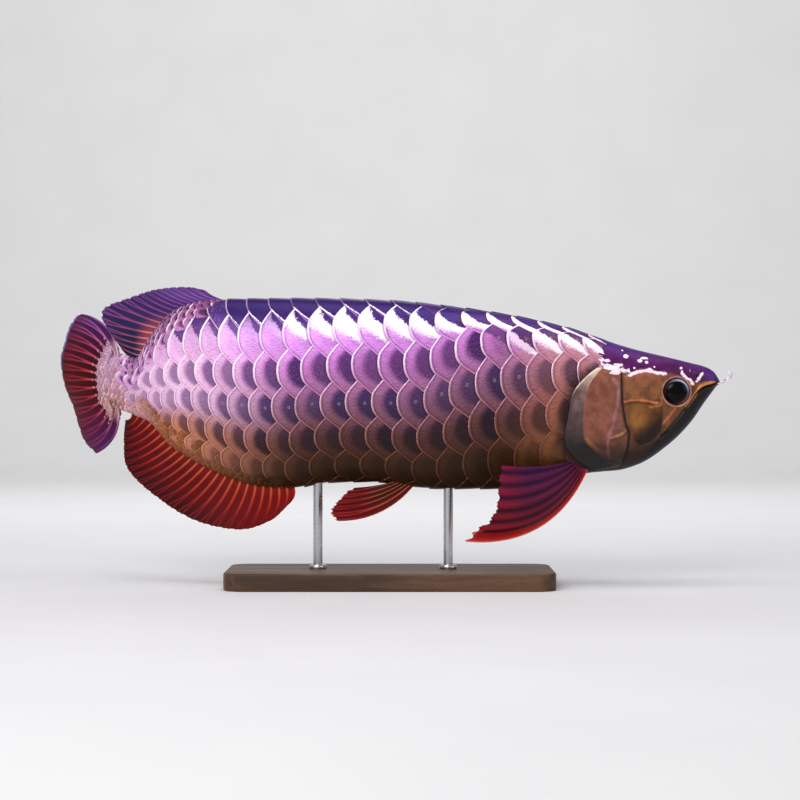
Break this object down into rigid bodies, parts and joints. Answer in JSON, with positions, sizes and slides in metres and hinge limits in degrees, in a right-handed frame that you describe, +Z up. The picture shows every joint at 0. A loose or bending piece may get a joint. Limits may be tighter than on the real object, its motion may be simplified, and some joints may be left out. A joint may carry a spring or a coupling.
{
  "type": "asian arowana",
  "caption": "Life-size asian arowana with large overlapping scales, swimming with its tail swept aside, held over a flat display base by slim rods.",
  "frame": {"origin": "centre of the base's underside, on the floor", "axes": "+X from tail to snout, +Z up, the fish's right flank faces -Y and its tail sweeps to +Y"},
  "size_m": [0.5923, 0.1607, 0.2587],
  "materials": {
    "skin": "wet satin, violet crown and copper cheeks",
    "gill_cover": "smooth copper rose",
    "scales": "pearly, violet to gold with pale rims",
    "eye": "clear and wet, black pupil in a silver ring",
    "barbel": "soft violet",
    "dorsal_fin": "translucent violet with pink rays",
    "anal_fin": "translucent crimson with orange rays",
    "caudal_fin": "translucent red with pink rays",
    "pectoral_fin": "translucent red with dark furrows",
    "pelvic_fin": "translucent crimson with a golden root",
    "stand_base": "dark satin wood",
    "stand_rod": "brushed steel"
  },
  "bodies": {
    "root": {"head": "skin", "lower_jaw": "skin", "gill_cover_right": "gill_cover", "gill_cover_left": "gill_cover", "torso_front": "scales", "torso_rear": "scales", "tail_stalk": "scales", "eye_right": "eye", "eye_left": "eye", "barbel_right": "barbel", "barbel_left": "barbel", "dorsal_fin": "dorsal_fin", "anal_fin": "anal_fin", "caudal_fin": "caudal_fin", "pectoral_fin_right": "pectoral_fin", "pectoral_fin_left": "pectoral_fin", "pelvic_fin_right": "pelvic_fin", "pelvic_fin_left": "pelvic_fin", "stand_base": "stand_base", "stand_rod_front": "stand_rod", "stand_rod_rear": "stand_rod"}
  },
  "joints": []
}
